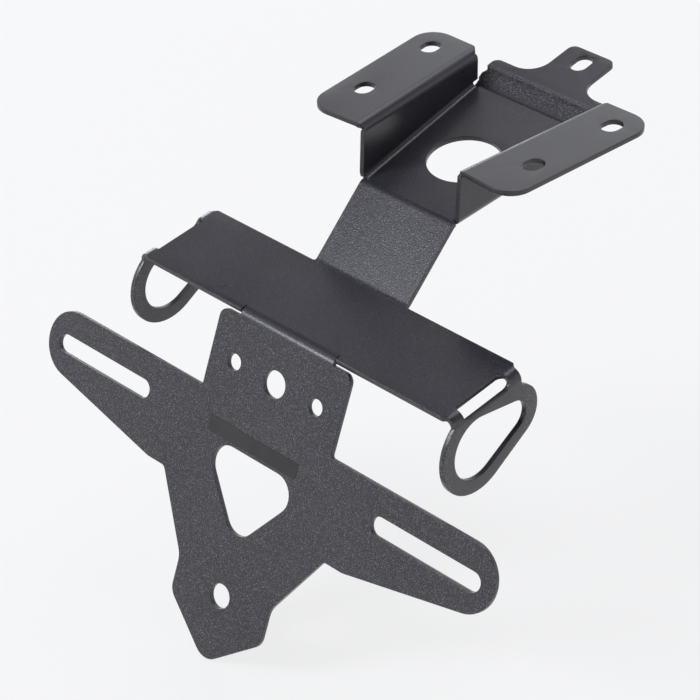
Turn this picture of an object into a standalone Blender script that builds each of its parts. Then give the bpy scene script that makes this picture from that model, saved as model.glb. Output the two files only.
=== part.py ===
"""Number plate bracket for the tail of a motorbike, folded from one sheet of steel.

The real part is one laser-cut blank with eleven folds, so the source is built the same way. The blank
is drawn flat with its holes, slots, relief notches and corner radii, it is given its thickness and
broken edges while flat, and every fold is then made about its own line. Sizes of the folded part
are the ones below, and the flat lengths are worked out from them.

Units are metres. In the finished part +X is to the side, +Y to the front of the bike and +Z up.
"""
import math

import bmesh
import bpy
from mathutils import Matrix, Vector

# The sheet and its folds
SHEET = 0.0020            # thickness
BEND_INSIDE = 0.0020      # inside radius of every fold
EDGE_BREAK = 0.00022      # broken edge left by deburring and coating
RELIEF = 0.0006           # width of the relief cut between a side wall and the ramp
RIP = 0.0003              # width of the thin cut at the end of every other fold
RIP_R = 0.00012           # inside corner radius of the thin cut
CUT_R = 0.00025           # smallest outside corner radius of the blank

# Fold angles in degrees, in order from the number plate to the rear tab
PLATE_FOLD = 62.9         # plate down from the wing
NECK_FOLD = 38.4          # neck up from the wing
WEB_FOLD = 36.2           # web back down from the neck
RAMP_FOLD = 27.8          # ramp up from the web
TAB_FOLD = 26.1           # tab back down from the ramp
LOOP_FOLD = 88.3          # signal loops down from the ends of the wing
WEB_PITCH = 7.3           # slope of the web against the level flanges

# Wing, drawn on its top face from the corner with the number plate
WING_DEPTH = 0.0354
NECK_STEP = 0.0007        # from the wing's rear edge to its corner with the neck
NECK_LENGTH = 0.0319
NECK_IN = 0.0007          # from the middle of the wall's sheet, at its front, to the edge of the neck
WEB_LENGTH = 0.0668
RAMP_LENGTH = 0.0075
WEB_HOLE_R = 0.01345
WEB_HOLE_S = 0.0301

# Number plate holder, drawn on its outer face down from the corner with the wing
PLATE_BEND_HALF = 0.0221
BLOCK_TOP = 0.0025
BLOCK_HALF = 0.0311
BLOCK_CORNER_R = 0.0034
ARM_TOP = 0.03225
ARM_TIP = 0.1080
ARM_TIP_HEIGHT = 0.02275  # of the arm tip before it is rounded
ARM_TIP_R = 0.0124
ARM_ROOT_HEIGHT = 0.03495 # of the arm where it leaves the body
ARM_ROOT_X = 0.0394
ARM_FLAT = 0.0085         # straight lower edge before it starts to taper
ARM_SLOT_IN = 0.0542
ARM_SLOT_TIP = 0.0059     # from the slot's outer end to the arm tip
ARM_SLOT_DOWN = 0.01305   # from the top of the arm to the middle of the slot
ARM_SLOT_R = 0.0035
WAIST_HALF = 0.0224
WAIST_DOWN = 0.0271       # from the lower edge of the arms to the waist
WAIST_HEIGHT = 0.0137
TONGUE_DROP = 0.0179      # from the waist to the tip of the tongue
TONGUE_TIP_R = 0.0072
SMALL_HOLE_X = 0.0195
SMALL_HOLE_R = 0.0030
TOP_HOLES_S = 0.0189
CENTRE_HOLE_R = 0.0049
LOW_HOLE_DOWN = 0.0054    # from the top of the waist
LOW_HOLE_R = 0.0045
WINDOW_DOWN = 0.01505     # from the top of the arms
WINDOW_HALF = 0.0261
WINDOW_HEIGHT = 0.0330
WINDOW_R = 0.0073

# Signal loops, drawn on their outer faces down from the top of the wing
LOOP_FACE_X = 0.0746
LOOP_SLOT_IN = 0.0046     # from the loop's face to the inner edge of the slot along the fold
LOOP_SLOT_DROP = 0.0040   # outer edge of the slot along the fold
LOOP_SLOT_FRONT = 0.0061  # from the wing's front edge to the slot
LOOP_SLOT_REAR = 0.0066   # from the wing's rear edge to the slot
EAR_FRONT = 0.0010        # from the wing's front edge to the front ear
EAR_REAR = 0.0015         # from the wing's rear edge to the rear ear
EAR_STEP = 0.0014         # how far along the wing the ears step in
HOLE_FRONT = (0.0112, 0.00215, 0.0117)   # middle from the wing's edge, gap to the slot, and radius
HOLE_REAR = (0.0067, 0.0066, 0.0060)
RING_FRONT = (0.0004, 0.00005, 0.0054)   # out and down from the hole's middle, and width
RING_REAR = (0.0014, -0.0005, 0.0047)

# Side walls and level flanges, seen from above. Their front ends are placed from the corner of neck
# and web, and their rear ends from the corner of web and ramp.
WALL_X = 0.0224           # middle of the sheet at the front of the wall
WALL_SPLAY = 5.3          # degrees that each wall opens towards the bike
WALL_FRONT = 0.0018035    # from the corner of neck and web to the front edge of the wall
WALL_LEAN = 0.0010        # the front edge leans, and its foot stands this far ahead
WALL_FOOT_GAP = 0.0006    # from the edge of the neck to the foot of the wall
WALL_REAR = 0.0017449     # from the corner of web and ramp to the rear edge of the wall
WALL_HEEL = 0.0016        # height of the wall's lower rear corner over the web
FLANGE_HEIGHT = 0.0212    # flange above web at the front of the wall
FLANGE_LEAD = 0.0006      # the flange's front edge by its fold, ahead of the wall
FLANGE_FRONT = (0.0247, 0.0025)   # front outer corner, out from WALL_X and ahead of the wall
FLANGE_REAR = (0.0304, 0.0020)    # rear outer corner, out from WALL_X and behind the wall
LEDGE_FRONT = 0.0005      # how far the wall's front edge runs on round the fold to the flange
LEDGE_REAR = 0.0014       # and its rear edge
NOTCH_FRONT = 0.0010      # from the wall's front edge to the bottom of the notch in that fold
NOTCH_REAR = 0.0005       # and from its rear edge
NOTCH_RISE = 0.0007       # from the ledge to the bottom of the notch
NOTCH_MOUTH = 0.0019      # from the bottom of the notch to the edge of the flange
FLANGE_R = 0.0090
FRONT_SLOT = (0.0079, 0.0187)     # in from the outer corner, and back from the wall's front edge
REAR_SLOT = (0.0106, 0.0096)      # in from the outer corner, and ahead of the wall's rear edge
FLANGE_SLOT_R = 0.0032
FLANGE_SLOT_HALF = 0.0043

# Ramp and rear tab, drawn on their top faces
RAMP_GAP = 0.0004         # from the side of the ramp to the inner face of the wall
RAMP_STEP_S = 0.0022      # the ramp widens here, behind the wall
RAMP_WIDE_S = 0.0030
RAMP_STEP_OUT = 0.0006631 # how much wider it is there, on each side
RAMP_SIDE_END = 0.0023    # from the end of the ramp's straight side to the corner with the tab
TAB_NOTCH = 0.0013        # depth of the small notch where the tab folds off the ramp
TAB_EDGE_S = 0.0014       # where the straight side of the tab starts
TAB_OUT = 0.0003          # how much wider than the ramp it is, on each side
TAB_WIDE_S = 0.0065
TAB_CORNER_R = 0.0028
TONGUE_HALF = 0.0101
TONGUE_FILLET_R = 0.0086
TONGUE_LENGTH = 0.0221
TONGUE_R = 0.0030
TAB_SLOT_IN = 0.0074      # from the end of the tongue to the middle of the slot
TAB_SLOT_R = 0.0032
TAB_SLOT_HALF = 0.0047

# How finely the round shapes are cut into facets
CHORD_ERROR = 0.00003
FOLD_STEP = math.radians(11.5)
CUT_GAP = 2e-7            # points nearer than this to a line are taken to lie on it
SLIVER = 1e-12            # a face of less area than this is none
STRAIGHT = 5e-6           # shortest straight edge that two rounded corners leave between them

BEND_R = BEND_INSIDE + SHEET / 2
OUTSIDE_R = BEND_INSIDE + SHEET


def arc_points(centre, radius, start, end):
    """Points of an arc, both ends included, fine enough for the chord error."""
    step = 2 * math.acos(max(0.7, 1 - CHORD_ERROR / radius))
    count = max(2, math.ceil(abs(end - start) / step))
    angles = [start + (end - start) * i / count for i in range(count + 1)]
    return [centre + Vector((math.cos(a), math.sin(a))) * radius for a in angles]


def corner_half(corners, i):
    """Directions of the two edges at one corner, and half the angle between them."""
    corner = corners[i][0]
    before = (corners[i - 1][0] - corner).normalized()
    after = (corners[(i + 1) % len(corners)][0] - corner).normalized()
    return before, after, before.angle(after) / 2


def fitting_radii(corners):
    """Radius of each corner, made smaller where the edge next to it is too short for its arc."""
    backs = [r / math.tan(corner_half(corners, i)[2]) if r else 0 for i, (_, r) in enumerate(corners)]
    shares = [1.0] * len(corners)
    for i, (corner, _) in enumerate(corners):
        after = (i + 1) % len(corners)
        room = (corners[after][0] - corner).length - STRAIGHT
        needed = backs[i] + backs[after]
        if needed > room:
            shares[i] = min(shares[i], max(0, room / needed))
            shares[after] = min(shares[after], max(0, room / needed))
    return [radius * share for (_, radius), share in zip(corners, shares)]


def rounded(corners):
    """Closed outline through corners given as (point, radius), each corner replaced by its arc."""
    points = []
    for i, radius in enumerate(fitting_radii(corners)):
        corner = corners[i][0]
        if radius < CUT_GAP:
            points.append(corner.copy())
            continue
        before, after, half = corner_half(corners, i)
        centre = corner + (before + after).normalized() * (radius / math.sin(half))
        first = corner + before * (radius / math.tan(half)) - centre
        last = corner + after * (radius / math.tan(half)) - centre
        start = math.atan2(first.y, first.x)
        turn = math.atan2(first.cross(last), first.dot(last))
        points += arc_points(centre, radius, start, start + turn)
    return points


def circle(centre, radius):
    """Closed outline of a round hole."""
    return arc_points(centre, radius, 0, 2 * math.pi)[:-1]


def slot(centre, along, half_length, radius):
    """Closed outline of a slot with full round ends, lying in the direction given."""
    angle = math.atan2(along.y, along.x)
    reach = along.normalized() * (half_length - radius)
    ends = arc_points(centre + reach, radius, angle - math.pi / 2, angle + math.pi / 2)
    return ends + arc_points(centre - reach, radius, angle + math.pi / 2, angle + 3 * math.pi / 2)


def wrap_angles(first, first_r, second, second_r):
    """Angles of the two points where a straight outer edge leaves the first circle for the second."""
    gap = second - first
    lean = math.acos((first_r - second_r) / gap.length)
    heading = math.atan2(gap.y, gap.x)
    return heading - lean, heading + lean


def mirrored(points):
    """The same outline on the other side, still in the same sense of rotation."""
    return [Vector((-p.x, p.y)) for p in reversed(points)]


class Fold:
    """One fold of the flat blank: its start line, the way it runs, its angle and the part it moves.

    A part that stands on the far side of a fold, but reaches back past its line, is moved whole.
    """

    def __init__(self, start, outward, degrees, up, moves, whole=None):
        self.start = start
        self.outward = outward.normalized()
        self.angle = math.radians(degrees)
        self.up = up
        self.moves = moves
        self.whole = whole or (lambda p: False)
        self.arc = BEND_R * self.angle

    def cuts(self):
        """Distances from the start line at which the fold is divided."""
        count = max(3, math.ceil(self.angle / FOLD_STEP))
        return [self.arc * i / count for i in range(count + 1)]

    def apply(self, point, flat):
        """Move one point, which lay at flat in the blank, to its place after this fold."""
        out = Vector((self.outward.x, self.outward.y, 0))
        reach = (point - Vector((self.start.x, self.start.y, 0))).dot(out)
        if self.whole(flat):
            turn = self.angle
            rest = reach - self.arc
        elif reach <= 0:
            return point
        else:
            turn = min(reach / BEND_R, self.angle)
            rest = max(0.0, reach - self.arc)
        arm = BEND_R - self.up * point.z
        along = arm * math.sin(turn) + rest * math.cos(turn)
        rise = BEND_R - arm * math.cos(turn) + rest * math.sin(turn)
        return point + out * (along - reach) + Vector((0, 0, self.up * rise - point.z))


def face_setback(degrees, on_outside):
    """Length that a fold takes from the drawn length of the face next to it."""
    radius = OUTSIDE_R if on_outside else BEND_INSIDE
    return radius * math.tan(math.radians(degrees) / 2)


def arc_of(degrees):
    """Flat length of a fold."""
    return BEND_R * math.radians(degrees)


class Blank:
    """Places on the flat blank for the sizes of the folded part."""

    def __init__(self):
        plate_back = face_setback(PLATE_FOLD, True)
        neck_back = face_setback(NECK_FOLD, False)
        web_back = face_setback(WEB_FOLD, True)
        ramp_back = face_setback(RAMP_FOLD, False)
        tab_back = face_setback(TAB_FOLD, True)
        loop_back = face_setback(LOOP_FOLD, True)
        self.wing_zero = -plate_back
        self.plate_zero = -arc_of(PLATE_FOLD) + plate_back
        self.neck_corner = WING_DEPTH + NECK_STEP
        self.neck_half = WALL_X - NECK_IN
        self.neck_start = self.neck_corner - neck_back + self.wing_zero
        self.neck_zero = self.neck_start + arc_of(NECK_FOLD) - neck_back
        self.web_start = self.neck_zero + NECK_LENGTH - web_back
        self.web_zero = self.web_start + arc_of(WEB_FOLD) - web_back
        self.ramp_start = self.web_zero + WEB_LENGTH - ramp_back
        self.ramp_zero = self.ramp_start + arc_of(RAMP_FOLD) - ramp_back
        self.tab_start = self.ramp_zero + RAMP_LENGTH - tab_back
        self.tab_zero = self.tab_start + arc_of(TAB_FOLD) - tab_back
        self.loop_start = LOOP_FACE_X - loop_back
        self.loop_zero = self.loop_start + arc_of(LOOP_FOLD) - loop_back
        self.level = math.radians(WEB_PITCH - NECK_FOLD + WEB_FOLD)
        self.set_plate()
        self.set_walls()

    def set_plate(self):
        """Places down the number plate holder, each one from the one above it."""
        self.arm_tip_low = ARM_TOP + ARM_TIP_HEIGHT
        self.arm_root_low = ARM_TOP + ARM_ROOT_HEIGHT
        self.waist_top = self.arm_root_low + WAIST_DOWN
        self.waist_low = self.waist_top + WAIST_HEIGHT
        self.tongue_tip = self.waist_low + TONGUE_DROP

    def set_walls(self):
        """Lines of the side walls: where they leave the web and where the flanges leave them."""
        splay = math.radians(WALL_SPLAY)
        pitch = math.radians(WEB_PITCH)
        fold = math.radians(NECK_FOLD)
        corner = Vector((self.neck_corner + NECK_LENGTH * math.cos(fold), NECK_LENGTH * math.sin(fold)))
        corner.rotate(Matrix.Rotation(self.level, 2))
        self.web_y = corner.x
        self.front_y = self.web_y + WALL_FRONT
        self.rear_y = self.web_y + WEB_LENGTH * math.cos(pitch) + WALL_REAR
        base = math.atan(math.tan(splay) * math.cos(pitch))
        taper = math.atan(math.cos(splay) * math.tan(pitch))
        self.taper = taper
        self.wall_along = Vector((math.sin(base), math.cos(base)))
        self.wall_out = Vector((math.cos(base), -math.sin(base)))
        self.wall_fold = 90 + math.degrees(math.asin(math.sin(splay) * math.sin(pitch)))
        self.rise = Vector((math.cos(taper - base), math.sin(taper - base)))
        self.rim = Vector((-self.rise.y, self.rise.x))
        corner = Vector((WALL_X, self.web_v_at(self.front_y)))
        corner_back = BEND_R * math.tan(math.radians(self.wall_fold) / 2)
        self.wall_start = corner - self.wall_out * corner_back
        saved = 2 * corner_back - arc_of(self.wall_fold)
        self.wall_zero = corner - self.wall_out * saved
        self.flange_start = self.wall_zero + self.rise * (FLANGE_HEIGHT - BEND_R)
        self.splay = splay
        self.web_cut = self.web_start + arc_of(WEB_FOLD) + RIP / 4
        self.ramp_half = self.middle(self.rear_y) - SHEET / 2 / math.cos(splay) - RAMP_GAP
        self.ramp_wide = self.ramp_half + RAMP_STEP_OUT
        self.tab_half = self.ramp_wide + TAB_OUT
        front = (WALL_X + FLANGE_FRONT[0] - FRONT_SLOT[0], self.front_y + FRONT_SLOT[1])
        rear = (WALL_X + FLANGE_REAR[0] - REAR_SLOT[0], self.rear_y - REAR_SLOT[1])
        self.flange_slots = (front, rear)

    def middle(self, y):
        """Distance of the wall's mid sheet from the middle of the part at a level Y."""
        return WALL_X + (y - self.front_y) * math.tan(self.splay)

    def web_v_at(self, y):
        """Place along the web, in the flat, that lies under a level Y of the finished part."""
        return self.web_zero + (y - self.web_y) / math.cos(math.radians(WEB_PITCH))

    def plate(self, x, s):
        return Vector((x, self.plate_zero - s))

    def wing(self, x, y):
        return Vector((x, self.wing_zero + y))

    def web(self, x, s):
        return Vector((x, self.web_zero + s))

    def tab(self, x, s):
        return Vector((x, self.tab_zero + s))

    def loop(self, y, drop):
        return Vector((self.loop_zero + drop, self.wing_zero + y))

    def hole_end(self, front):
        """Place along the wing, place down the loop, and radius of one end of the loop's hole."""
        away, gap, radius = HOLE_FRONT if front else HOLE_REAR
        along = away if front else WING_DEPTH - away
        return along, LOOP_SLOT_DROP + gap + radius, radius

    def ring_end(self, front):
        """The same three sizes of the ring round that end of the hole."""
        along, down, radius = self.hole_end(front)
        out, drop, width = RING_FRONT if front else RING_REAR
        return along - out if front else along + out, down + drop, radius + width

    def wall(self, y, height):
        """A point of the wall at a level Y and a height above its foot."""
        return self.wall_zero + self.rise * height + self.rim * self.run(y)

    def foot_height(self, y):
        """Height of the wall's foot over its front corner, which the slope of the web gives."""
        return self.run(y) * math.tan(self.taper)

    def run(self, y):
        """Distance along the wall from its front edge to a level Y."""
        return (y - self.front_y) / math.cos(self.splay)

    def flange(self, x, y):
        """A point of the level flange, given as seen from above."""
        across = Vector((x - WALL_X, y - self.front_y))
        out = across.dot(Vector((math.cos(self.splay), -math.sin(self.splay))))
        along = across.dot(Vector((math.sin(self.splay), math.cos(self.splay))))
        return self.bend_edge(along, out)

    def bend_edge(self, along, out):
        saved = 2 * BEND_R - arc_of(90)
        return self.wall_zero + self.rise * (FLANGE_HEIGHT - saved + out) + self.rim * along

    def wall_front(self, x):
        """The point at x, in the flat, of the front edge of the wall."""
        foot = self.wall(self.front_y - WALL_LEAN, 0)
        top = self.wall(self.front_y, FLANGE_HEIGHT - BEND_R)
        return foot + (top - foot) * ((x - foot.x) / (top.x - foot.x))


def plate_side(b):
    """Corners of the right half of the number plate holder and of the wing's front edge."""
    plate_top = b.plate(0, BLOCK_TOP).y
    return [
        (b.plate(WAIST_HALF, b.waist_low), 0.0060),
        (b.plate(WAIST_HALF, b.waist_top), 0.0080),
        (b.plate(ARM_ROOT_X, b.arm_root_low), 0.0020),
        (b.plate(ARM_ROOT_X + ARM_FLAT, b.arm_root_low), 0.0060),
        (b.plate(ARM_TIP, b.arm_tip_low), ARM_TIP_R),
        (b.plate(ARM_TIP, ARM_TOP), ARM_TIP_R),
        (b.plate(BLOCK_HALF, ARM_TOP), 0.0010),
        (b.plate(BLOCK_HALF, BLOCK_TOP), BLOCK_CORNER_R),
        (Vector((PLATE_BEND_HALF, plate_top)), RIP_R),
        (Vector((PLATE_BEND_HALF, RIP)), RIP_R),
        (Vector((PLATE_BEND_HALF + RIP, RIP)), RIP_R),
        (Vector((PLATE_BEND_HALF + RIP, b.wing(0, 0).y)), CUT_R),
        (b.wing(LOOP_FACE_X - LOOP_SLOT_IN, 0), 0.0008),
    ]


def loop_side(b):
    """Corners and arcs of the right signal loop, from its front ear round the ring to its rear ear."""
    front, front_r = b.loop(*b.ring_end(True)[:2]), b.ring_end(True)[2]
    rear, rear_r = b.loop(*b.ring_end(False)[:2]), b.ring_end(False)[2]
    lower, _ = wrap_angles(front, front_r, rear, rear_r)
    front_edge = b.wing(0, EAR_FRONT).y
    rear_edge = b.wing(0, WING_DEPTH - EAR_REAR).y
    slot_x = LOOP_FACE_X - LOOP_SLOT_IN
    start = -math.pi + math.asin((front.y - front_edge) / front_r)
    end = math.pi - math.asin((rear_edge - rear.y) / rear_r)
    ring = arc_points(front, front_r, start, lower) + arc_points(rear, rear_r, lower, end)
    side = [(Vector((slot_x + EAR_STEP, front_edge)), 0.0010)]
    side += [(p, 0) for p in ring]
    side += [(Vector((slot_x + EAR_STEP, rear_edge)), 0.0010)]
    return side + [(b.wing(slot_x, WING_DEPTH), 0.0008)]


def bracket_side(b):
    """Corners of the right half of the neck, the side wall with its flange, the ramp and the tab."""
    bend_front = WALL_X - BEND_R - RIP
    bend_rear = b.middle(b.rear_y) - BEND_R - RELIEF
    foot_x = b.neck_half + WALL_FOOT_GAP
    ledge_front = FLANGE_HEIGHT - BEND_R + LEDGE_FRONT
    ledge_rear = FLANGE_HEIGHT - BEND_R + LEDGE_REAR
    mouth = NOTCH_RISE + NOTCH_MOUTH
    heel = b.wall(b.rear_y, b.foot_height(b.rear_y) + WALL_HEEL)
    front_corner = b.flange(WALL_X + FLANGE_FRONT[0], b.front_y - FLANGE_FRONT[1])
    rear_corner = b.flange(WALL_X + FLANGE_REAR[0], b.rear_y + FLANGE_REAR[1])
    tongue_end = TAB_WIDE_S + TONGUE_LENGTH
    return [
        (Vector((b.neck_half, b.wing(0, WING_DEPTH).y)), 0.0009),
        (Vector((b.neck_half, b.web_cut)), CUT_R),
        (Vector((bend_front, b.web_cut)), RIP_R),
        (Vector((bend_front, b.web_cut + RIP)), RIP_R),
        (Vector((foot_x, b.web_cut + RIP)), RIP_R),
        (b.wall_front(foot_x), 0.00035),
        (b.wall(b.front_y, ledge_front), CUT_R),
        (b.wall(b.front_y + NOTCH_FRONT, ledge_front + NOTCH_RISE), 0.0003),
        (b.wall(b.front_y - FLANGE_LEAD, ledge_front + mouth), 0.0010),
        (front_corner, FLANGE_R),
        (rear_corner, FLANGE_R),
        (b.wall(b.rear_y + FLANGE_REAR[1], ledge_rear + mouth), 0.0011),
        (b.wall(b.rear_y - NOTCH_REAR, ledge_rear + NOTCH_RISE), 0.0003),
        (b.wall(b.rear_y, ledge_rear), CUT_R),
        (heel, 0.0005),
        (Vector((heel.x, b.ramp_start - RELIEF)), CUT_R),
        (Vector((bend_rear, b.ramp_start - RELIEF)), CUT_R),
        (Vector((bend_rear, b.ramp_start)), CUT_R),
        (Vector((b.ramp_half, b.ramp_start)), CUT_R),
        (Vector((b.ramp_half, b.ramp_zero + RAMP_STEP_S)), CUT_R),
        (Vector((b.ramp_wide, b.ramp_zero + RAMP_WIDE_S)), CUT_R),
        (Vector((b.ramp_wide, b.ramp_zero + RAMP_LENGTH - RAMP_SIDE_END)), 0.0006),
        (Vector((b.ramp_wide - TAB_NOTCH, b.tab_start + RIP)), 0.0004),
        (b.tab(b.tab_half, TAB_EDGE_S), CUT_R),
        (b.tab(b.tab_half, TAB_WIDE_S), TAB_CORNER_R),
        (b.tab(TONGUE_HALF, TAB_WIDE_S), TONGUE_FILLET_R),
        (b.tab(TONGUE_HALF, tongue_end), TONGUE_R),
    ]


def outer_outline(b):
    """Outer outline of the whole blank: the right half and its mirror image about the middle."""
    half = plate_side(b) + loop_side(b) + bracket_side(b)
    other = [(Vector((-p.x, p.y)), radius) for p, radius in reversed(half)]
    tip = (b.plate(0, b.tongue_tip), TONGUE_TIP_R)
    return rounded([tip] + half + other)


def hole_outlines(b):
    """Every hole and slot of the blank."""
    across = Vector((1, 0))
    along = Vector((0, 1))
    window_top = ARM_TOP + WINDOW_DOWN
    slot_out = ARM_TIP - ARM_SLOT_TIP
    tab_slot = TAB_WIDE_S + TONGUE_LENGTH - TAB_SLOT_IN
    holes = [
        circle(b.plate(0, TOP_HOLES_S), CENTRE_HOLE_R),
        circle(b.plate(0, b.waist_top + LOW_HOLE_DOWN), LOW_HOLE_R),
        circle(b.web(0, WEB_HOLE_S), WEB_HOLE_R),
        slot(b.tab(0, tab_slot), along, TAB_SLOT_HALF, TAB_SLOT_R),
        rounded([
            (b.plate(0, window_top + WINDOW_HEIGHT), WINDOW_R),
            (b.plate(WINDOW_HALF, window_top), WINDOW_R),
            (b.plate(-WINDOW_HALF, window_top), WINDOW_R),
        ]),
    ]
    sided = [
        circle(b.plate(SMALL_HOLE_X, TOP_HOLES_S), SMALL_HOLE_R),
        slot(b.plate((ARM_SLOT_IN + slot_out) / 2, ARM_TOP + ARM_SLOT_DOWN), across,
             (slot_out - ARM_SLOT_IN) / 2, ARM_SLOT_R),
        loop_hole(b),
        loop_slot(b),
    ]
    sided += [slot(b.flange(x, y), b.rim, FLANGE_SLOT_HALF, FLANGE_SLOT_R) for x, y in b.flange_slots]
    for outline in sided:
        holes += [outline, mirrored(outline)]
    return holes


def loop_hole(b):
    """Egg-shaped hole of the right loop: two arcs and the straight edges that join them."""
    front, front_r = b.loop(*b.hole_end(True)[:2]), b.hole_end(True)[2]
    rear, rear_r = b.loop(*b.hole_end(False)[:2]), b.hole_end(False)[2]
    low, high = wrap_angles(front, front_r, rear, rear_r)
    return arc_points(rear, rear_r, low, high) + arc_points(front, front_r, high, low + 2 * math.pi)


def loop_slot(b):
    """Slot along the fold of the right loop, which leaves the loop on two ears."""
    inner = LOOP_FACE_X - LOOP_SLOT_IN
    outer = b.loop(0, LOOP_SLOT_DROP).x
    front = b.wing(0, LOOP_SLOT_FRONT).y
    rear = b.wing(0, WING_DEPTH - LOOP_SLOT_REAR).y
    full = (outer - inner) / 2 * 0.98
    return rounded([
        (Vector((inner, front)), 0.0008),
        (Vector((outer, front)), 0.0016),
        (Vector((outer, rear)), full),
        (Vector((inner, rear)), full),
    ])


def flat_solid(outer, holes):
    """Blank as a closed solid with its thickness and broken edges, made by a filled 2D curve.

    The curve is drawn in millimetres, because the fill of a curve merges points that are close
    together in scene units, and the mesh is brought back to metres.
    """
    mm = 1000
    curve = bpy.data.curves.new("blank", "CURVE")
    curve.dimensions = "2D"
    curve.fill_mode = "BOTH"
    curve.extrude = (SHEET / 2 - EDGE_BREAK) * mm
    curve.bevel_depth = EDGE_BREAK * mm
    curve.bevel_resolution = 0
    curve.offset = -EDGE_BREAK * mm
    for points in [outer] + [list(reversed(h)) for h in holes]:
        spline = curve.splines.new("POLY")
        spline.points.add(len(points) - 1)
        for target, p in zip(spline.points, points):
            target.co = (p.x * mm, p.y * mm, 0, 1)
        spline.use_cyclic_u = True
    holder = bpy.data.objects.new("blank", curve)
    bpy.context.scene.collection.objects.link(holder)
    bpy.context.view_layer.update()
    depsgraph = bpy.context.evaluated_depsgraph_get()
    mesh = bpy.data.meshes.new_from_object(holder.evaluated_get(depsgraph))
    mesh.transform(Matrix.Scale(1 / mm, 4) @ holder.matrix_world)
    bpy.data.objects.remove(holder)
    bpy.data.curves.remove(curve)
    return mesh


def side_of(x):
    """Plus one on the right of the part and minus one on the left."""
    return 1 if x >= 0 else -1


def make_folds(b):
    """All folds, outermost first, with the test that says which points of the blank each one moves."""

    def on_loop(p):
        return abs(p.x) > b.loop_start and b.wing(0, -0.02).y < p.y < b.neck_start + 0.02

    def on_tab(p):
        side = b.ramp_half if p.y < b.ramp_zero + RAMP_STEP_S else b.tab_half
        return p.y > b.ramp_start - 1e-6 and abs(p.x) < side + RELIEF

    def past_wall(p):
        by_neck = abs(p.x) < b.neck_half + WALL_FOOT_GAP / 2
        lowest = b.web_cut + RIP / 2 if by_neck else b.web_start - WALL_FOOT_GAP
        if p.y < lowest or on_tab(p):
            return False
        return (Vector((abs(p.x), p.y)) - b.wall_start).dot(b.wall_out) > 0

    def on_plate(p):
        if on_loop(p):
            return False
        return p.y < b.wing(0, 0).y - RIP or abs(p.x) < PLATE_BEND_HALF + RIP / 2

    folds = []
    for sign in (1, -1):
        flip = Vector((sign, 1))

        def mine(test, sign=sign):
            return lambda p: side_of(p.x) == sign and test(p)

        folds += [
            Fold(b.flange_start * flip, b.rise * flip, 90, -1, mine(past_wall)),
            Fold(b.wall_start * flip, b.wall_out * flip, b.wall_fold, 1, mine(past_wall)),
            Fold(Vector((b.loop_start * sign, 0)), Vector((sign, 0)), LOOP_FOLD, -1, mine(on_loop)),
        ]
    ahead = Vector((0, 1))
    folds += [
        Fold(Vector((0, b.tab_start)), ahead, TAB_FOLD, -1, on_tab),
        Fold(Vector((0, b.ramp_start)), ahead, RAMP_FOLD, 1, on_tab),
        Fold(Vector((0, b.web_start)), ahead, WEB_FOLD, -1, lambda p: not on_loop(p), past_wall),
        Fold(Vector((0, b.neck_start)), ahead, NECK_FOLD, 1, lambda p: not on_loop(p)),
        Fold(Vector((0, 0)), -ahead, PLATE_FOLD, -1, on_plate),
    ]
    return folds


def divide(bm, fold):
    """Cut the blank along the lines of one fold, and mark the cut edges that lie in its own part."""
    normal = Vector((fold.outward.x, fold.outward.y, 0))
    origin = Vector((fold.start.x, fold.start.y, 0))
    for distance in fold.cuts():
        faces = []
        for face in bm.faces:
            reach = [(v.co - origin).dot(normal) - distance for v in face.verts]
            if min(reach) < CUT_GAP and max(reach) > -CUT_GAP:
                if any(fold.moves(v.co + normal * RELIEF) for v in face.verts):
                    faces.append(face)
        edges = {e for f in faces for e in f.edges}
        verts = {v for f in faces for v in f.verts}
        geom = list(verts) + list(edges) + faces
        bmesh.ops.bisect_plane(bm, geom=geom, dist=CUT_GAP, plane_co=origin + normal * distance,
                               plane_no=normal)
        for edge in bm.edges:
            ends = [(v.co - origin).dot(normal) - distance for v in edge.verts]
            middle = (edge.verts[0].co + edge.verts[1].co) / 2
            probe = middle + normal * CUT_GAP * 5
            on_line = max(abs(e) for e in ends) < 2 * CUT_GAP
            if on_line and fold.moves(probe) and not fold.whole(probe):
                edge.seam = True


def join_flat_faces(bm):
    """Join the triangles of the fill between the fold lines, so that no needless facet is left."""
    slivers = [f for f in bm.faces if f.calc_area() < SLIVER]
    longest = {max(f.edges, key=lambda e: e.calc_length()) for f in slivers}
    bmesh.ops.dissolve_edges(bm, edges=list(longest))
    inner = []
    for edge in bm.edges:
        if not edge.seam and all(abs(f.normal.z) > 0.99 for f in edge.link_faces):
            inner.append(edge)
    bmesh.ops.dissolve_limit(bm, angle_limit=0.001, verts=[], edges=inner)
    loose = [v for v in bm.verts if len(v.link_edges) == 2]
    bmesh.ops.dissolve_verts(bm, verts=loose)


def build_mesh(b):
    """Folded sheet as one closed mesh, with the flanges level."""
    mesh = flat_solid(outer_outline(b), hole_outlines(b))
    bm = bmesh.new()
    bm.from_mesh(mesh)
    bmesh.ops.remove_doubles(bm, verts=bm.verts, dist=CUT_GAP)
    folds = make_folds(b)
    join_flat_faces(bm)
    for fold in folds:
        divide(bm, fold)
    bmesh.ops.remove_doubles(bm, verts=bm.verts, dist=CUT_GAP * 10)
    bmesh.ops.dissolve_degenerate(bm, edges=bm.edges, dist=CUT_GAP * 10)
    join_flat_faces(bm)
    flat = [v.co.copy() for v in bm.verts]
    placed = [p.copy() for p in flat]
    for fold in folds:
        placed = [fold.apply(q, p) if fold.moves(p) else q for p, q in zip(flat, placed)]
    for vert, place in zip(bm.verts, placed):
        vert.co = place
    bmesh.ops.triangulate(bm, faces=bm.faces)
    bmesh.ops.transform(bm, matrix=finish_place(b), verts=bm.verts)
    bmesh.ops.recalc_face_normals(bm, faces=bm.faces)
    bm.to_mesh(mesh)
    bm.free()
    mesh.name = "folded_bracket"
    return mesh


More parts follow.
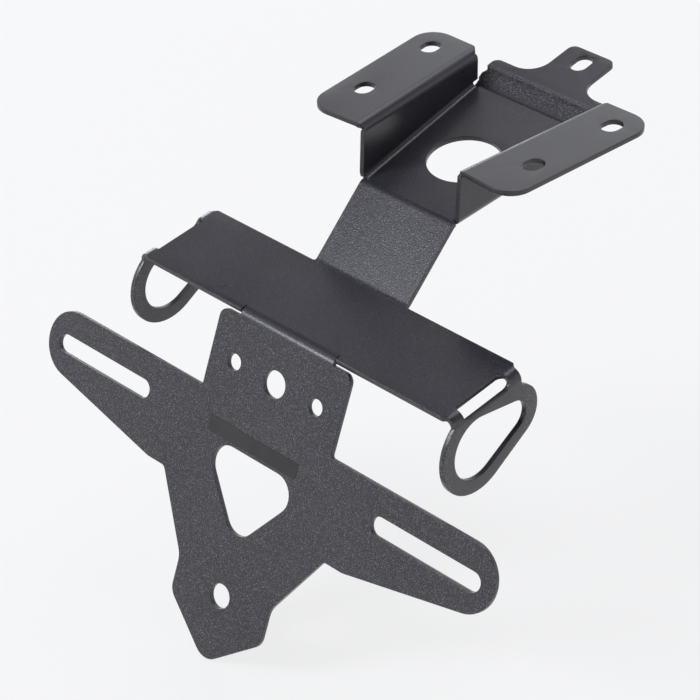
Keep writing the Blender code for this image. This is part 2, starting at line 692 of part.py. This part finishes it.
def fold_point(b, place):
    """Where one point of the flat blank, given at mid sheet, goes on the sheet's upper face."""
    point = Vector((place.x, place.y, SHEET / 2))
    flat = point.copy()
    for fold in make_folds(b):
        if fold.moves(flat):
            point = fold.apply(point, flat)
    return point


def finish_place(b):
    """Turn that makes the flanges level, and the move to the middle of the four flange slots."""
    turn = Matrix.Rotation(b.level, 4, "X")
    slots = [turn @ fold_point(b, b.flange(x, y)) for x, y in b.flange_slots]
    seat = sum(slots, Vector()) / len(slots)
    return Matrix.Translation((0, -seat.y, -seat.z)) @ turn


def coat_material():
    """Black powder coat over the steel."""
    material = bpy.data.materials.new("black_powder_coat")
    material.use_nodes = True
    shader = material.node_tree.nodes["Principled BSDF"]
    shader.inputs["Base Color"].default_value = (0.035, 0.035, 0.038, 1)
    shader.inputs["Roughness"].default_value = 0.55
    return material


def main():
    """Clear the scene and build the bracket."""
    for old in list(bpy.data.objects):
        bpy.data.objects.remove(old)
    blank = Blank()
    mesh = build_mesh(blank)
    mesh.materials.append(coat_material())
    for polygon in mesh.polygons:
        polygon.use_smooth = True
    mesh.set_sharp_from_angle(angle=math.radians(25))
    collection = bpy.data.collections.new("rear_license_plate_holder")
    bpy.context.scene.collection.children.link(collection)
    collection.objects.link(bpy.data.objects.new("folded_bracket", mesh))


main()
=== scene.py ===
"""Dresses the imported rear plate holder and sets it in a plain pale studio.

The holder is one sheet of steel, cut and folded, under a black powder coat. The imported
solid keeps its shape: it gets smooth folds and the coat. A thin blank label lies on the
lower plate, where such a holder carries one.
"""

import logging
import math
from dataclasses import dataclass, field
from enum import Enum

import bmesh
import bpy
from mathutils import Matrix, Vector


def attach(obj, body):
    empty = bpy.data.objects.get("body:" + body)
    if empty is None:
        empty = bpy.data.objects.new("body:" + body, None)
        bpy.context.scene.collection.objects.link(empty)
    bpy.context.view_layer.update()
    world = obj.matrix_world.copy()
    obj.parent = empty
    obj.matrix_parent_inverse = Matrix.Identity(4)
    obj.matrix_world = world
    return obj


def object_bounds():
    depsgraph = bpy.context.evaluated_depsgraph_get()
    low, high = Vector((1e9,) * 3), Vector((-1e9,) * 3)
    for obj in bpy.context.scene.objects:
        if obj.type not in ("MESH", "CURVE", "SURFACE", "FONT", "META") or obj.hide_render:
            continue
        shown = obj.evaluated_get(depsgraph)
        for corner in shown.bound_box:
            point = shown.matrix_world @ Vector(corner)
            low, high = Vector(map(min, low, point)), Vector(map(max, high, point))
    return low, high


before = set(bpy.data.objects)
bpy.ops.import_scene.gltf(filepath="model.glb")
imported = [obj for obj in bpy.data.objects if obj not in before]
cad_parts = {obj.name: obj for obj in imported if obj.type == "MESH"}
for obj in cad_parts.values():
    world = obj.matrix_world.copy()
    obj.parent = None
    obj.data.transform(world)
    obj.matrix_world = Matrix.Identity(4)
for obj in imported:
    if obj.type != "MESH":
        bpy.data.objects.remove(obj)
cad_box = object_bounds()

log = logging.getLogger("plate_holder")

MM = 0.001
# Widths and heights over which the painted glint strength passes from one face to the next.
FOLD_FADE = 1.2 * MM
FLANGE_FOOT = -4.0 * MM
FLANGE_TOP = -1.5 * MM
SENSOR_WIDTH = 36.0
NUMBER_SOCKET = "NodeSocketFloat"

# The grain: soft pebbles mixed with the peaks of small cells.
PEBBLE_DETAIL = 2.5
PEBBLE_ROUGHNESS = 0.62
CELLS_A_PEBBLE = 1.35
PEAK_SHARE = 0.45
# Heights of the grain tops that get a painted glint, a bright speck of painted light.
PAINTED_GLINT_START = 0.56
PAINTED_GLINT_END = 0.80

# The cloud: how its noise is spread between its two limits.
CLOUD_DETAIL = 3.0
CLOUD_FROM = 0.3
CLOUD_TO = 0.7

Colour = tuple[float, float, float]


class Zone(Enum):
    """The flat faces of the folded sheet, from the lower plate to the rear tab.

    Each value is the place along Y, in metres, where that face starts.
    """

    PLATE = -0.1500
    WING = -0.0995
    NECK = -0.0640
    WEB = -0.0400
    RAMP = 0.0285
    TAB = 0.0345


def link_object(item: bpy.types.Object) -> bpy.types.Object:
    """Puts a new object in the scene.

    Args:
        item: The object to link.

    Returns:
        The same object.
    """
    bpy.context.scene.collection.objects.link(item)
    return item


def toward(azimuth: float, elevation: float) -> Vector:
    """Gives the direction in which a lamp stands, seen from the holder.

    Args:
        azimuth: Degrees round from the front, positive to the right.
        elevation: Degrees above the floor.

    Returns:
        A vector of length one.
    """
    turn = math.radians(azimuth)
    rise = math.radians(elevation)
    flat = math.cos(rise)
    return Vector((math.sin(turn) * flat, -math.cos(turn) * flat, math.sin(rise)))


@dataclass
class Wiring:
    """Adds nodes to one tree and joins them.

    Attributes:
        tree: The node tree that is filled.
    """

    tree: bpy.types.NodeTree

    def add(self, kind: str, **settings: object) -> bpy.types.Node:
        """Adds a node.

        Args:
            kind: The node's type, without its ShaderNode prefix.
            settings: Properties of the node, by name.

        Returns:
            The new node.
        """
        node = self.tree.nodes.new("ShaderNode" + kind)
        for name, value in settings.items():
            setattr(node, name, value)
        return node

    def feed(self, node: bpy.types.Node, socket: str | int, source: object) -> None:
        """Joins an output to a socket, or sets the socket's own value.

        Args:
            node: The node that takes it.
            socket: The name or place of the input.
            source: An output socket, a number or a colour.
        """
        target = node.inputs[socket]
        if isinstance(source, bpy.types.NodeSocket):
            self.tree.links.new(source, target)
        else:
            target.default_value = source

    def math(self, operation: str, first: object, second: object = 0.0) -> bpy.types.NodeSocket:
        """Adds a Math node.

        Args:
            operation: What the node does.
            first: Its first value or source.
            second: Its second value or source.

        Returns:
            The node's output.
        """
        node = self.add("Math", operation=operation)
        self.feed(node, 0, first)
        self.feed(node, 1, second)
        return node.outputs[0]

    def step(self, value: object, start: object, end: object) -> bpy.types.NodeSocket:
        """Adds a smooth step from 0 to 1.

        Args:
            value: What is compared.
            start: Where the step leaves 0.
            end: Where it reaches 1.

        Returns:
            The step's output.
        """
        node = self.add("MapRange", interpolation_type="SMOOTHSTEP")
        self.feed(node, "Value", value)
        self.feed(node, "From Min", start)
        self.feed(node, "From Max", end)
        return node.outputs[0]

    def blend(self, amount: object, first: object, second: object) -> bpy.types.NodeSocket:
        """Mixes two numbers.

        Args:
            amount: 0 for the first, 1 for the second.
            first: A number or source.
            second: A number or source.

        Returns:
            The mixed number.
        """
        node = self.add("Mix", data_type="FLOAT")
        self.feed(node, 0, amount)
        self.feed(node, 2, first)
        self.feed(node, 3, second)
        return node.outputs[0]

    def tint(self, amount: object, first: object, second: object) -> bpy.types.NodeSocket:
        """Mixes two colours.

        Args:
            amount: 0 for the first, 1 for the second.
            first: A colour or source.
            second: A colour or source.

        Returns:
            The mixed colour.
        """
        node = self.add("Mix", data_type="RGBA")
        self.feed(node, 0, amount)
        self.feed(node, 6, first)
        self.feed(node, 7, second)
        return node.outputs[2]

    def place(self, group: bpy.types.NodeTree, **values: object) -> bpy.types.Node:
        """Places a shared group and sets its inputs.

        Args:
            group: The group to place.
            values: Inputs by name, with a low line for each space.

        Returns:
            The group's node.
        """
        node = self.add("Group")
        node.node_tree = group
        for name, value in values.items():
            self.feed(node, name.replace("_", " "), value)
        return node


@dataclass
class Effects:
    """The shader groups that the finishes share, each built once."""

    grain: bpy.types.NodeTree = field(init=False)
    cloud: bpy.types.NodeTree = field(init=False)
    faces: bpy.types.NodeTree = field(init=False)

    def __post_init__(self) -> None:
        """Builds every group."""
        self.grain = self.build_grain()
        self.cloud = self.build_cloud()
        self.faces = self.build_faces()

    @staticmethod
    def start(
        name: str, inputs: dict[str, float], outputs: tuple[str, ...]
    ) -> tuple[bpy.types.NodeTree, Wiring, bpy.types.Node, bpy.types.Node]:
        """Starts a group with named number sockets.

        Args:
            name: The group's name.
            inputs: Default of each input, by name.
            outputs: Name of each output.

        Returns:
            The group, its wiring, and its input and output nodes.
        """
        group = bpy.data.node_groups.new(name, "ShaderNodeTree")
        for label, value in inputs.items():
            socket = group.interface.new_socket(label, in_out="INPUT", socket_type=NUMBER_SOCKET)
            socket.default_value = value
        for label in outputs:
            group.interface.new_socket(label, in_out="OUTPUT", socket_type=NUMBER_SOCKET)
        source = group.nodes.new("NodeGroupInput")
        sink = group.nodes.new("NodeGroupOutput")
        return group, Wiring(group), source, sink

    def build_grain(self) -> bpy.types.NodeTree:
        """Builds the fine sandy grain of a structured powder coat.

        Returns:
            A group that gives a Height, and a mask of the grain tops that get a painted glint.
        """
        group, wires, source, sink = self.start(
            "powder_grain",
            {"Grains": 1500.0, "Crispness": 0.2},
            ("Height", "Glint"),
        )
        place = wires.add("TexCoord").outputs["Object"]
        grains = source.outputs["Grains"]
        pebbles = wires.add("TexNoise", noise_dimensions="3D")
        wires.feed(pebbles, "Vector", place)
        wires.feed(pebbles, "Scale", grains)
        wires.feed(pebbles, "Detail", PEBBLE_DETAIL)
        wires.feed(pebbles, "Roughness", PEBBLE_ROUGHNESS)
        cells = wires.add("TexVoronoi", feature="F1")
        wires.feed(cells, "Vector", place)
        wires.feed(cells, "Scale", wires.math("MULTIPLY", grains, CELLS_A_PEBBLE))
        peaks = wires.math("SUBTRACT", 1.0, cells.outputs["Distance"])
        height = wires.blend(PEAK_SHARE, pebbles.outputs[0], peaks)
        wires.feed(sink, "Height", height)
        # Grain tops above these heights get a painted glint, a bright speck of painted light.
        full = wires.math("SUBTRACT", PAINTED_GLINT_END, source.outputs["Crispness"])
        wires.feed(sink, "Glint", wires.step(height, PAINTED_GLINT_START, full))
        return group

    def build_cloud(self) -> bpy.types.NodeTree:
        """Builds the slow change from place to place that a sprayed coat has.

        Returns:
            A group that gives a Value between its two limits.
        """
        group, wires, source, sink = self.start(
            "coat_cloud",
            {"Patches": 25.0, "Lowest": 0.0, "Highest": 1.0},
            ("Value",),
        )
        place = wires.add("TexCoord").outputs["Object"]
        patches = wires.add("TexNoise", noise_dimensions="3D")
        wires.feed(patches, "Vector", place)
        wires.feed(patches, "Scale", source.outputs["Patches"])
        wires.feed(patches, "Detail", CLOUD_DETAIL)
        share = wires.step(patches.outputs[0], CLOUD_FROM, CLOUD_TO)
        wires.feed(sink, "Value", wires.blend(share, source.outputs["Lowest"], source.outputs["Highest"]))
        return group

    def build_faces(self) -> bpy.types.NodeTree:
        """Builds the map of how much painted glint each folded face gets on its grain tops, painted light
        for how much light each face catches; below 1 it also lowers the grain relief.

        Returns:
            A group with one input a face, and the Strength found at a point.
        """
        names = [zone.name.capitalize() for zone in Zone]
        sockets = {name: 1.0 for name in [*names, "Flanges"]}
        group, wires, source, sink = self.start("glint_and_relief_by_face", sockets, ("Strength",))
        place = wires.add("SeparateXYZ")
        wires.feed(place, 0, wires.add("TexCoord").outputs["Object"])
        strength = source.outputs[names[0]]
        for zone, name in list(zip(Zone, names))[1:]:
            start, end = zone.value - FOLD_FADE, zone.value + FOLD_FADE
            beyond = wires.step(place.outputs["Y"], start, end)
            strength = wires.blend(beyond, strength, source.outputs[name])
        high = wires.step(place.outputs["Z"], FLANGE_FOOT, FLANGE_TOP)
        wires.feed(sink, "Strength", wires.blend(high, strength, source.outputs["Flanges"]))
        return group


def start_material(name: str) -> tuple[bpy.types.Material, Wiring, bpy.types.Node]:
    """Starts a material with an empty Principled shader.

    Args:
        name: The material's name.

    Returns:
        The material, its wiring and its shader.
    """
    material = bpy.data.materials.new(name)
    material.use_nodes = True
    material.node_tree.nodes.clear()
    wires = Wiring(material.node_tree)
    shader = wires.add("BsdfPrincipled")
    sink = wires.add("OutputMaterial")
    wires.feed(sink, "Surface", shader.outputs[0])
    return material, wires, shader


@dataclass(frozen=True)
class PowderCoat:
    """Black structured powder coat, as baked on to the folded steel. Its bright grain tops are painted
    glints, painted light that is stronger on the faces that catch more light.

    Attributes:
        ground: Colour between the grains.
        painted_glint: Colour of the painted glints, the grain tops painted as if catching the light.
        smooth: Roughness where the coat flowed out best.
        rough: Roughness where it is driest.
        grains: Grains in a metre.
        relief: Height of the grain, in metres.
        crispness: How sharply each grain's painted glint stands out.
        painted_glint_share: Share of the painted glint colour at full strength.
        plate: How much painted glint the lower plate's grain tops get, painted light for how much light
            the plate catches; below 1 it also lowers the grain relief.
        wing: The same for the wing and its loops.
        neck: The same for the neck.
        web: The same for the floor of the channel.
        ramp: The same for the ramp behind it.
        tab: The same for the rear tab.
        flanges: The same for the two flanges.
    """

    ground: Colour = (0.0230, 0.0225, 0.0300)
    painted_glint: Colour = (0.170, 0.173, 0.190)
    smooth: float = 0.27
    rough: float = 0.32
    grains: float = 1750.0
    relief: float = 0.00011
    crispness: float = 0.16
    painted_glint_share: float = 0.60
    plate: float = 1.9
    wing: float = 0.45
    neck: float = 1.4
    web: float = 0.35
    ramp: float = 6.0
    tab: float = 0.10
    flanges: float = 0.04

    def material(self, effects: Effects) -> bpy.types.Material:
        """Builds the coat.

        Args:
            effects: The shared shader groups.

        Returns:
            The finished material.
        """
        material, wires, shader = start_material("powder_coat_black")
        grain = wires.place(effects.grain, Grains=self.grains, Crispness=self.crispness)
        strength = wires.place(
            effects.faces,
            Plate=self.plate,
            Wing=self.wing,
            Neck=self.neck,
            Web=self.web,
            Ramp=self.ramp,
            Tab=self.tab,
            Flanges=self.flanges,
        ).outputs["Strength"]
        # Painted glints: the grain tops are coloured bright, as painted light, by each face's share; a
        # faint random tone of the coat is added to them.
        lit = wires.math("MULTIPLY", grain.outputs["Glint"], strength)
        tone = wires.place(effects.cloud, Patches=18.0, Lowest=0.0, Highest=0.05)
        glint_and_tone = wires.math("ADD", wires.math("MULTIPLY", lit, self.painted_glint_share), tone.outputs["Value"])
        wires.feed(shader, "Base Color", wires.tint(glint_and_tone, (*self.ground, 1), (*self.painted_glint, 1)))
        sheen = wires.place(effects.cloud, Patches=40.0, Lowest=self.smooth, Highest=self.rough)
        wires.feed(shader, "Roughness", sheen.outputs["Value"])
        bump = wires.add("Bump")
        wires.feed(bump, "Strength", 0.6)
        wires.feed(bump, "Distance", self.relief)
        rise = wires.math("MINIMUM", strength, 1.0)
        wires.feed(bump, "Height", wires.math("MULTIPLY", grain.outputs["Height"], rise))
        wires.feed(shader, "Normal", bump.outputs[0])
        return material


@dataclass(frozen=True)
class LabelFilm:
    """Black satin film of the blank label.

    Attributes:
        colour: Colour of the film.
        worn: Colour where it is palest.
        smooth: Lowest roughness.
        rough: Highest roughness.
        relief: Height of its faint texture, in metres.
    """

    colour: Colour = (0.011, 0.011, 0.012)
    worn: Colour = (0.035, 0.035, 0.038)
    smooth: float = 0.30
    rough: float = 0.42
    relief: float = 0.00001

    def material(self, effects: Effects) -> bpy.types.Material:
        """Builds the film.

        Args:
            effects: The shared shader groups.

        Returns:
            The finished material.
        """
        material, wires, shader = start_material("label_film_black")
        tone = wires.place(effects.cloud, Patches=90.0, Lowest=0.0, Highest=0.35)
        colour = wires.tint(tone.outputs["Value"], (*self.colour, 1), (*self.worn, 1))
        wires.feed(shader, "Base Color", colour)
        sheen = wires.place(effects.cloud, Patches=160.0, Lowest=self.smooth, Highest=self.rough)
        wires.feed(shader, "Roughness", sheen.outputs["Value"])
        grain = wires.place(effects.grain, Grains=900.0, Crispness=0.2)
        bump = wires.add("Bump")
        wires.feed(bump, "Strength", 0.25)
        wires.feed(bump, "Distance", self.relief)
        wires.feed(bump, "Height", grain.outputs["Height"])
        wires.feed(shader, "Normal", bump.outputs[0])
        return material


@dataclass
class FoldedSheet:
    """The one folded sheet: lower plate, wing with its loops, neck, channel and tab.

    Attributes:
        node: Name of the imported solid.
        weld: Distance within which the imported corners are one, in metres.
    """

    node: str = "folded_bracket"
    weld: float = 0.000002

    def dress(self, coat: bpy.types.Material) -> bpy.types.Object:
        """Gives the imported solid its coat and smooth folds.

        Args:
            coat: The coat's material.

        Returns:
            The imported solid's object.
        """
        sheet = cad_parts[self.node]
        sheet.data.materials.clear()
        sheet.data.materials.append(coat)
        sheet.data.shade_smooth()
        join = sheet.modifiers.new("joined_corners", "WELD")
        join.merge_threshold = self.weld
        normals = sheet.modifiers.new("flat_faces", "WEIGHTED_NORMAL")
        normals.mode = "FACE_AREA"
        normals.weight = 100
        normals.keep_sharp = False
        return sheet


@dataclass
class BlankLabel:
    """A thin blank film label on the front face of the lower plate.

    Attributes:
        corner: Corner between the plate's front face and the wing, as Y and Z.
        down: Direction down the plate, as Y and Z.
        left: Left end of the label across the plate.
        right: Right end.
        top: Distance of its upper edge from the corner.
        bottom: Distance of its lower edge.
        thick: Thickness of the film.
        sunk: How far its back lies under the plate's face.
        round: Radius of its corners.
        corner_parts: Straight parts in each round corner.
    """

    corner: tuple[float, float] = (-0.098677, -0.046607)
    down: tuple[float, float] = (-0.374607, -0.927184)
    left: float = -0.0239
    right: float = 0.0189
    top: float = 0.0402
    bottom: float = 0.0460
    thick: float = 0.00012
    sunk: float = 0.00002
    round: float = 0.0005
    corner_parts: int = 4

    def outline(self) -> list[tuple[float, float]]:
        """Gives the label's rounded outline.

        Returns:
            Points as distances across and down the plate.
        """
        centres = [
            (self.right - self.round, self.bottom - self.round, 0),
            (self.left + self.round, self.bottom - self.round, 90),
            (self.left + self.round, self.top + self.round, 180),
            (self.right - self.round, self.top + self.round, 270),
        ]
        points = []
        for across, along, start in centres:
            for part in range(self.corner_parts + 1):
                angle = math.radians(start + 90.0 * part / self.corner_parts)
                reach = (self.round * math.cos(angle), self.round * math.sin(angle))
                points.append((across + reach[0], along + reach[1]))
        return points

    def on_plate(self, across: float, along: float, proud: float) -> Vector:
        """Gives a point on or above the plate's front face.

        Args:
            across: Distance to the right of the middle.
            along: Distance down from the corner.
            proud: Height above the face.

        Returns:
            The point in the part's own frame.
        """
        out = (self.down[1], -self.down[0])
        y = self.corner[0] + self.down[0] * along + out[0] * proud
        z = self.corner[1] + self.down[1] * along + out[1] * proud
        return Vector((across, y, z))

    def build(self, film: bpy.types.Material) -> bpy.types.Object:
        """Builds the label and attaches it to the root body.

        Args:
            film: The film's material.

        Returns:
            The label's object.
        """
        mesh = bpy.data.meshes.new("blank_label")
        shape = bmesh.new()
        outline = self.outline()
        lower = [shape.verts.new(self.on_plate(x, s, -self.sunk)) for x, s in outline]
        upper = [shape.verts.new(self.on_plate(x, s, self.thick)) for x, s in outline]
        shape.faces.new(upper)
        shape.faces.new(list(reversed(lower)))
        for index in range(len(outline)):
            after = (index + 1) % len(outline)
            shape.faces.new((lower[index], lower[after], upper[after], upper[index]))
        bmesh.ops.recalc_face_normals(shape, faces=shape.faces)
        rim = [edge for edge in shape.edges if edge.verts[0] in upper and edge.verts[1] in upper]
        bmesh.ops.bevel(shape, geom=rim, offset=self.thick * 0.4, segments=2, affect="EDGES")
        shape.to_mesh(mesh)
        shape.free()
        mesh.shade_smooth()
        mesh.materials.append(film)
        label = link_object(bpy.data.objects.new("blank_label", mesh))
        normals = label.modifiers.new("flat_faces", "WEIGHTED_NORMAL")
        normals.weight = 100
        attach(label, "root")
        return label


@dataclass(frozen=True)
class SoftBox:
    """A square soft lamp that looks at the holder.

    Attributes:
        name: The lamp's name.
        azimuth: Degrees round from the front, positive to the right.
        elevation: Degrees above the floor.
        distance: Distance from the holder, in metres.
        width: Side of the lamp, in metres.
        power: Its power in watts.
        colour: Its colour.
    """

    name: str
    azimuth: float
    elevation: float
    distance: float
    width: float
    power: float
    colour: Colour = (0.965, 0.975, 1.05)

    def place(self, aim: Vector) -> bpy.types.Object:
        """Sets the lamp up.

        Args:
            aim: The point that it looks at.

        Returns:
            The lamp's object.
        """
        lamp = bpy.data.lights.new(self.name, "AREA")
        lamp.shape = "SQUARE"
        lamp.size = self.width
        lamp.energy = self.power
        lamp.color = self.colour
        item = link_object(bpy.data.objects.new(self.name, lamp))
        away = toward(self.azimuth, self.elevation)
        item.location = aim + away * self.distance
        item.rotation_euler = away.to_track_quat("Z", "Y").to_euler()
        item.visible_camera = False
        return item


@dataclass
class Studio:
    """The pale floor, the light and the camera.

    Attributes:
        aim: The point that the lamps look at.
        floor_tone: Colour of the floor in the picture.
        floor_paper: Colour with which the floor lights the holder and takes its shadow.
        floor_shadow: Share of the floor's own shading that shows in the picture.
        floor_radius: Radius of the floor, in metres.
        floor_gap: Gap between the floor and the plate's tip.
        surround_tone: Colour of the surround.
        sky: Strength of the even light that the surround gives.
        ceiling: Strength of the surround straight overhead, where it is seen or mirrored.
        wall_top: Height at which the surround starts to darken, as a share.
        ceiling_edge: Height at which it is as dark as the ceiling, as a share.
        focal: Focal length of the camera, in millimetres.
        seat: Place of the camera.
        right: Direction to the right in the picture.
        up: Direction up in the picture.
        back: Direction from the holder back to the camera.
        lamps: The soft lamps.
    """

    aim: Vector = field(default_factory=lambda: Vector((0.0, -0.045, -0.07)))
    floor_tone: Colour = (0.995, 0.998, 1.0)
    floor_paper: Colour = (0.82, 0.825, 0.835)
    floor_shadow: float = 0.22
    floor_radius: float = 4.0
    floor_gap: float = 0.0003
    surround_tone: Colour = (0.965, 0.975, 1.0)
    sky: float = 0.20
    ceiling: float = 0.20
    wall_top: float = 0.25
    ceiling_edge: float = 0.75
    focal: float = 132.98
    seat: tuple[float, float, float] = (0.51650, -0.59533, 0.44861)
    right: Colour = (0.721536, 0.692198, -0.015743)
    up: Colour = (-0.388368, 0.423444, 0.818454)
    back: Colour = (0.573198, -0.584430, 0.574357)
    lamps: tuple[SoftBox, ...] = (
        SoftBox("lamp_front", -32.0, 31.0, 1.7, 0.45, 13.0),
        SoftBox("lamp_front_high", -45.0, 60.0, 1.7, 0.8, 3.2),
        SoftBox("lamp_right_low", 90.0, 8.0, 1.7, 0.8, 7.5),
        SoftBox("lamp_back_left_low", -120.0, 8.0, 1.7, 0.8, 8.5),
        SoftBox("lamp_back_left", -156.0, 36.0, 1.7, 1.0, 3.4),
        SoftBox("lamp_back_high", 180.0, 60.0, 1.7, 0.8, 6.0),
    )

    def floor(self) -> bpy.types.Object:
        """Builds the floor under the plate's tip.

        Returns:
            The floor's object.
        """
        lowest = float(cad_box[0][2])
        mesh = bpy.data.meshes.new("floor")
        shape = bmesh.new()
        bmesh.ops.create_circle(shape, cap_ends=True, segments=96, radius=self.floor_radius)
        bmesh.ops.translate(shape, verts=shape.verts, vec=(0.0, 0.0, lowest - self.floor_gap))
        shape.to_mesh(mesh)
        shape.free()
        mesh.materials.append(self.floor_finish())
        floor = link_object(bpy.data.objects.new("floor", mesh))
        return floor

    @staticmethod
    def seen(wires: Wiring) -> bpy.types.NodeSocket:
        """Gives 1 where a ray is one that the picture shows.

        Args:
            wires: The tree that needs it.

        Returns:
            The mask's output.
        """
        path = wires.add("LightPath")
        rays = wires.math("ADD", path.outputs["Is Camera Ray"], path.outputs["Is Glossy Ray"])
        rays = wires.math("ADD", rays, path.outputs["Is Transmission Ray"])
        return wires.math("MINIMUM", rays, 1.0)

    def floor_finish(self) -> bpy.types.Material:
        """Builds the floor's plain pale finish, which keeps a faint shadow.

        Returns:
            The finished material.
        """
        material = bpy.data.materials.new("floor_pale")
        material.use_nodes = True
        material.node_tree.nodes.clear()
        wires = Wiring(material.node_tree)
        paper = wires.add("BsdfDiffuse")
        wires.feed(paper, "Color", (*self.floor_paper, 1.0))
        glow = wires.add("Emission")
        wires.feed(glow, "Color", (*self.floor_tone, 1.0))
        wires.feed(glow, "Strength", 1.0)
        mix = wires.add("MixShader")
        path = wires.add("LightPath")
        shown = wires.math("MULTIPLY", path.outputs["Is Camera Ray"], self.floor_shadow)
        wires.feed(mix, 0, wires.math("SUBTRACT", self.seen(wires), shown))
        wires.feed(mix, 1, paper.outputs[0])
        wires.feed(mix, 2, glow.outputs[0])
        sink = wires.add("OutputMaterial")
        wires.feed(sink, "Surface", mix.outputs[0])
        return material

    def surround(self) -> None:
        """Sets the even light from all round and the white behind the floor."""
        world = bpy.data.worlds.new("studio")
        bpy.context.scene.world = world
        world.use_nodes = True
        world.node_tree.nodes.clear()
        wires = Wiring(world.node_tree)
        glow = wires.add("Background")
        wires.feed(glow, "Color", (*self.surround_tone, 1.0))
        place = wires.add("SeparateXYZ")
        wires.feed(place, 0, wires.add("TexCoord").outputs["Generated"])
        height = wires.step(place.outputs["Z"], self.wall_top, self.ceiling_edge)
        wall = wires.blend(height, 1.0, self.ceiling)
        wires.feed(glow, "Strength", wires.blend(self.seen(wires), self.sky, wall))
        sink = wires.add("OutputWorld")
        wires.feed(sink, "Surface", glow.outputs[0])

    def camera(self) -> bpy.types.Object:
        """Sets the camera where the picture was taken.

        Returns:
            The camera's object.
        """
        lens = bpy.data.cameras.new("camera")
        lens.lens = self.focal
        lens.sensor_width = SENSOR_WIDTH
        lens.clip_start = 0.05
        lens.clip_end = 20.0
        item = link_object(bpy.data.objects.new("camera", lens))
        axes = Matrix((self.right, self.up, self.back)).transposed().to_4x4()
        axes.translation = Vector(self.seat)
        item.matrix_world = axes
        bpy.context.scene.camera = item
        return item

    def build(self) -> None:
        """Sets up the camera, the floor, the surround and the lamps."""
        self.camera()
        self.floor()
        self.surround()
        for lamp in self.lamps:
            lamp.place(self.aim)
        bpy.context.scene.view_settings.view_transform = "Standard"


def main() -> None:
    """Builds the studio, then dresses the sheet and lays the label on it."""
    logging.basicConfig(level=logging.INFO, format="%(name)s: %(message)s")
    Studio().build()
    effects = Effects()
    sheet = FoldedSheet().dress(PowderCoat().material(effects))
    log.info("%s dressed, %d triangles", sheet.name, len(sheet.data.polygons))
    label = BlankLabel().build(LabelFilm().material(effects))
    log.info("%s built, %d faces", label.name, len(label.data.polygons))


if __name__ == "__main__":
    main()
